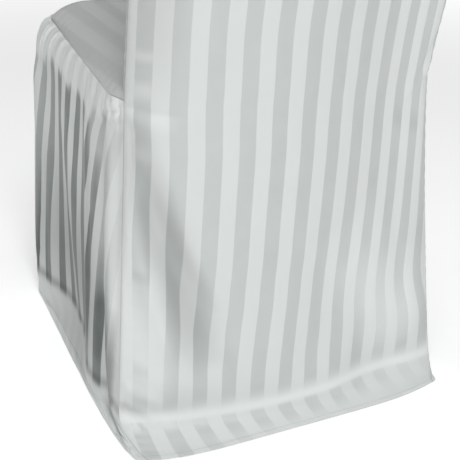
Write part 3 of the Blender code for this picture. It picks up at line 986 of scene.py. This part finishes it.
def cloth_material(name):
    """Striped satin. The cloth attribute holds metres across, metres down and from a seam."""
    material = bpy.data.materials.new(name)
    nodes = NodeTree(material)
    cloth = nodes.attribute("cloth", "Vector")
    split = nodes.add("ShaderNodeSeparateXYZ")
    nodes.feed(split.inputs[0], cloth)
    across, down, edge = split.outputs
    place = nodes.math("PINGPONG", nodes.math("ADD", across, STRIPE / 2), STRIPE)
    low, high = STRIPE / 2 - STRIPE_SOFTNESS / 2, STRIPE / 2 + STRIPE_SOFTNESS / 2
    satin = nodes.ramp(place, low, high, 0.0, 1.0)

    patch = nodes.noise(cloth, TONE_SCALE, TONE_DETAIL)
    # Painted shade: the seat's plain stripes are darkened for the backrest's shadow on the seat
    depth = CLOTH_PAINTED_SHADE[name]
    plain = nodes.blend(patch, *[tinted(PLAIN_COLOUR, depth * tone) for tone in PLAIN_TONES])
    shiny = nodes.blend(patch, *[tinted(SATIN_COLOUR, tone) for tone in SATIN_TONES])
    # Painted sheen and shade: the satin's contrast with the plain stripes changes from place to
    # place
    shown = nodes.math("MULTIPLY", satin, nodes.attribute("sheen_and_shade_contrast", "Fac"))
    colour = nodes.blend(shown, plain, shiny)

    tone = nodes.ramp(edge, *EDGE_LINE, EDGE_TONE[name], 1.0)
    tone = nodes.math("MULTIPLY", nodes.attribute("shade", "Fac"), tone)
    from_hem = nodes.attribute("hem", "Fac")
    from_thread = nodes.math("ABSOLUTE", nodes.math("SUBTRACT", from_hem, HEM_WIDTH))
    thread = nodes.ramp(from_thread, STITCH_WIDTH / 2, STITCH_WIDTH, 1.0, 0.0)
    dash = nodes.ramp(nodes.wave(across, STITCH), *STITCH_GAP, 0.0, 1.0)
    thread = nodes.math("MULTIPLY", thread, dash)
    tone = nodes.math("MULTIPLY", tone, nodes.ramp(thread, 0.0, 1.0, 1.0, STITCH_TONE))

    weave = nodes.math("MULTIPLY", nodes.wave(across, WARP_PITCH), nodes.wave(down, WEFT_PITCH))
    slub = nodes.noise(cloth, SLUB_SCALE, SLUB_DETAIL)
    relief = nodes.math("MULTIPLY", weave, WEAVE_DEPTH)
    relief = nodes.math("ADD", relief, nodes.math("MULTIPLY", slub, SLUB_DEPTH))
    relief = nodes.math("ADD", relief, nodes.math("MULTIPLY", satin, SATIN_LEVEL))
    bump = nodes.add("ShaderNodeBump")
    for socket, value in (("Strength", WEAVE_STRENGTH), ("Distance", 1.0), ("Height", relief)):
        nodes.feed(bump.inputs[socket], value)

    tangent = nodes.add("ShaderNodeTangent", direction_type="UV_MAP", uv_map="grain")
    for socket, value in (
        ("Base Color", nodes.blend(1.0, colour, tone, "MULTIPLY")),
        ("Roughness", nodes.ramp(satin, 0.0, 1.0, PLAIN_ROUGHNESS, SATIN_ROUGHNESS)),
        ("Metallic", nodes.ramp(shown, 0.0, SATIN_METAL_SHARE, 0.0, SATIN_METAL)),
        ("Tangent", tangent.outputs["Tangent"]),
        ("Anisotropic", SATIN_GRAIN),
        ("Sheen Weight", SHEEN),
        ("Sheen Roughness", SHEEN_ROUGHNESS),
        ("Normal", bump.outputs["Normal"]),
    ):
        nodes.feed(nodes.shader.inputs[socket], value)
    return material


def cloth_mesh(name, outer, inner, sign, cloth, looks, material):
    """Closed thin sheet between two grids of points."""
    rows, columns = outer.shape[:2]
    count = rows * columns
    index = np.arange(count).reshape(rows, columns)
    quads = np.stack([index[:-1, :-1], index[1:, :-1], index[1:, 1:], index[:-1, 1:]], axis=-1)
    quads = quads.reshape(-1, 4)
    rim = np.concatenate([index[0], index[1:, -1], index[-1, -2::-1], index[-2:0:-1, 0]])
    after = np.roll(rim, -1)
    walls = np.stack([rim, after, after + count, rim + count], axis=-1)
    faces = np.concatenate([quads, quads[:, ::-1] + count, walls])
    if sign < 0:
        faces = faces[:, ::-1]
    points = np.concatenate([outer.reshape(-1, 3), inner.reshape(-1, 3)])
    points = points - np.array((*FOOTPRINT_MIDDLE, 0.0))
    mesh = bpy.data.meshes.new(name)
    mesh.from_pydata(points.tolist(), [], faces.tolist())
    mesh.shade_smooth()
    mesh.set_sharp_from_angle(angle=SHARP_ANGLE)
    cloth = np.tile(cloth.reshape(-1, 3), (2, 1))
    layer = mesh.attributes.new("cloth", "FLOAT_VECTOR", "POINT")
    layer.data.foreach_set("vector", cloth.astype(np.float32).ravel())
    for look, values in looks.items():
        layer = mesh.attributes.new(look, "FLOAT", "POINT")
        layer.data.foreach_set("value", np.tile(values.ravel(), 2).astype(np.float32))
    corners = np.empty(len(mesh.loops), dtype=np.int32)
    mesh.loops.foreach_get("vertex_index", corners)
    grain = cloth[corners][:, (1, 0)]
    mesh.uv_layers.new(name="grain").data.foreach_set("uv", grain.astype(np.float32).ravel())
    mesh.materials.append(material)
    piece = bpy.data.objects.new(name, mesh)
    bpy.context.scene.collection.objects.link(piece)
    return piece


def past_turn(down):
    """Metres down the cloth from the row where it starts to turn out onto the floor."""
    return down - down[down.shape[0] - 1 - BAND_STEPS - BEND_STEPS]


def back_stripes(lengths, heights, beyond):
    """Metres across the back's stripes, from the left edge of the first satin stripe."""
    share = lengths / lengths[:, -1:]
    foot = 1.0 - zone_share(heights, FOOT_ZONE)
    start = mix(BACK_START, FOOT_START, foot)
    scale = mix(BACK_SCALE, FOOT_SCALE, foot)
    drawn = mix(BACK_DRAWN, TOP_DRAWN, zone_share(heights, TOP_ZONE))
    drawn = mix(drawn, FOOT_DRAWN, foot)
    dragged = beyond * mix(BAND_DRAG_LEFT, BAND_DRAG_RIGHT, share)
    return (lengths + dragged - start - drawn * np.sin(np.pi * share)) / scale


def skirt_stripes(lengths, down):
    """Metres across the skirt's stripes, alike from both rear seams."""
    whole = lengths[:, -1:]
    slant = np.minimum(down, SKIRT_SLANT_END)
    start = SKIRT_START + SKIRT_SLANT * slant - SKIRT_SLANT_EASE * slant ** 2
    from_left = (lengths - start) / SKIRT_SCALE + STRIPE
    from_right = (whole - lengths - start) / SKIRT_SCALE + STRIPE
    seat_row = whole[0, 0] - 2.0 * SKIRT_START
    repeats = round((seat_row / SKIRT_SCALE + STRIPE) / (2.0 * STRIPE))
    across = repeats * 2.0 * STRIPE + STRIPE - from_right
    return mix(from_left, across, zone_share(lengths / whole, SKIRT_TURN))


def stripe_coordinates(name, sheet, down):
    """Metres across the stripes, with a satin stripe just after each repeat's start."""
    lengths = run_lengths(sheet, 1)
    if name == "back_cloth":
        return back_stripes(lengths, sheet[:, :, 2], np.maximum(0.0, past_turn(down)))
    if name == "skirt_cloth":
        return skirt_stripes(lengths, down)
    middle = lengths.shape[1] // 2
    return lengths[:, middle][:, None] - lengths + STRIPE / 2


def shoulder_share(sides, down):
    """1 on the skirt's shoulder, painted pale as painted light and sheen, and 0 below its uneven
    edge.
    """
    edge = np.interp(sides, *zip(*SHOULDER_EDGE))
    for depth, rate in SHOULDER_RIPPLES:
        edge = edge + depth * np.sin(sides * rate)
    return 1.0 - eased_share((down - edge) / SHOULDER_SOFTNESS)


def satin_sheen_and_shade(name, sheet, down, sides):
    """Share of its full contrast that the satin has at each point, as painted sheen and shade."""
    if name == "seat_cloth":
        return np.full(down.shape, SEAT_STAND_OUT)
    beyond = past_turn(down)
    if name == "back_cloth":
        share = 1.0 - sheet[:, :, 0] / BACK_HALF
        shown = BACK_STAND_OUT + crease_grid(sheet[:, :, 0], sheet[:, :, 2], BACK_PATCHES)
        shown = np.maximum(LEAST_STAND_OUT, shown)
        shown = shown * (1.0 - zone_share(beyond, ROLL_FADE_ZONE))
        band = BACK_BAND_STAND_OUT * (1.0 - BACK_BAND_FADE * share)
        at_hem = zone_share(beyond, BACK_HEM_ZONE) * np.clip(share, 0.0, 1.0)
        band = band * (1.0 - BACK_HEM_FADE * at_hem)
        return shown + band * zone_share(beyond, BACK_BAND_ZONE)
    foot = 1.0 - zone_share(sheet[:, :, 2], REAR_FOOT_ZONE)
    rear = mix(REAR_STAND_OUT, REAR_FOOT_STAND_OUT, foot)
    rear = mix(STRIP_STAND_OUT, rear, zone_share(sides, STRIP_ZONE))
    share = mix(rear, SKIRT_STAND_OUT, zone_share(sides, REAR_ZONE))
    share = np.clip(share + crease_grid(sides, sheet[:, :, 2], SKIRT_PATCHES), 0.0, 1.0)
    share = mix(share, SHOULDER_STAND_OUT, shoulder_share(sides, down))
    return mix(share, BAND_STAND_OUT, zone_share(beyond, BAND_ZONE))


def cloth_shade(name, sheet, down, places, sides):
    """Tone of the cloth at each point, 1 where it is plain."""
    if name == "seat_cloth":
        return np.ones(down.shape)
    beyond = past_turn(down)
    if name == "back_cloth":
        shade = 1.0 + crease_grid(sheet[:, :, 0], sheet[:, :, 2], BACK_SHADES)
        shade = shade + ROLL_SHADE * np.exp(-((beyond - ROLL_PLACE) / BREAK_SHADE_REACH) ** 2)
        shade = shade + BACK_BAND_SHADE * zone_share(beyond, BACK_BAND_ZONE)
    else:
        shade = 1.0 + crease_grid(places, sheet[:, :, 2], SKIRT_SHADES)
        shade = shade + SHOULDER_SHADE * shoulder_share(sides, down)
        shade = shade + BREAK_SHADE * np.exp(-(beyond / BREAK_SHADE_REACH) ** 2)
    return np.clip(shade, DARKEST_SHADE, LIGHTEST_SHADE)


def seam_runs(name, across, down):
    """Distance from each sewn edge of a sheet, with the metres along that edge."""
    sides = np.minimum(across, across[:, -1:] - across)
    seams = [(sides, down), (down, across)]
    if name == "seat_cloth":
        seams.append((down[-1:] - down, across))
    return seams


def nearest_seam_relief(seams):
    nearest = np.full(seams[0][0].shape, np.inf)
    relief = np.zeros(nearest.shape)
    for distance, along in seams:
        relief = np.where(distance < nearest, seam_relief(distance, along), relief)
        nearest = np.minimum(nearest, distance)
    return relief


def crease_relief(name, sheet, down, places):
    """Small creases, gathers and the roll at the floor, outward in metres."""
    heights = sheet[:, :, 2]
    if name == "seat_cloth":
        return np.zeros(down.shape)
    if name == "back_cloth":
        relief = crease_grid(sheet[:, :, 0], heights, BACK_CREASES)
    else:
        relief = crease_grid(places, heights, SKIRT_CREASES)
        relief = relief + crease_grid(places, down[-1:] - down, BAND_CREASES)
        relief = relief + gather_relief(places, down)
    return relief + roll_relief(past_turn(down))


def add_cover():
    sheets = {"back_cloth": back_sheet(), "seat_cloth": seat_sheet(), "skirt_cloth": skirt_sheet()}
    signs = {"back_cloth": 1, "seat_cloth": -1, "skirt_cloth": -1}
    nodes = {"back_cloth": "back_panel", "seat_cloth": "seat_panel", "skirt_cloth": "skirt_panel"}
    normals = shared_normals(sheets, signs)
    moved, cloths, looks = {}, {}, {}
    for name, sheet in sheets.items():
        across, down = run_lengths(sheet, 1), run_lengths(sheet, 0)
        from_hem = down[-1:] - down
        seams = seam_runs(name, across, down)
        sides = seams[0][0]
        sewn = np.minimum.reduce([distance for distance, _ in seams])
        places = across
        if name == "skirt_cloth":
            places = np.tile(skirt_places(), (sheet.shape[0], 1))
        relief = crease_relief(name, sheet, down, places) * eased_share(sewn / EDGE_FADE)
        relief = relief + nearest_seam_relief(seams)
        if name != "seat_cloth":
            relief = relief + hem_relief(from_hem)
        moved[name] = sheet + normals[name] * relief[:, :, None]
        moved[name][:, :, 2] = np.maximum(moved[name][:, :, 2], FLOOR_CLEARANCE)
        cloths[name] = np.stack([stripe_coordinates(name, sheet, down), down, sewn], axis=-1)
        looks[name] = {
            "sheen_and_shade_contrast": satin_sheen_and_shade(name, sheet, down, sides),
            "shade": cloth_shade(name, sheet, down, places, sides),
            "hem": from_hem + (1.0 if name == "seat_cloth" else 0.0),
        }
    normals = shared_normals(moved, signs)
    for name, sheet in moved.items():
        inner = sheet - CLOTH_THICK * normals[name]
        material = cloth_material(name)
        piece = cloth_mesh(name, sheet, inner, signs[name], cloths[name], looks[name], material)
        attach(piece, "root")
        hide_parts(nodes[name])


place_camera()
light_studio()
lay_floor()
add_cover()
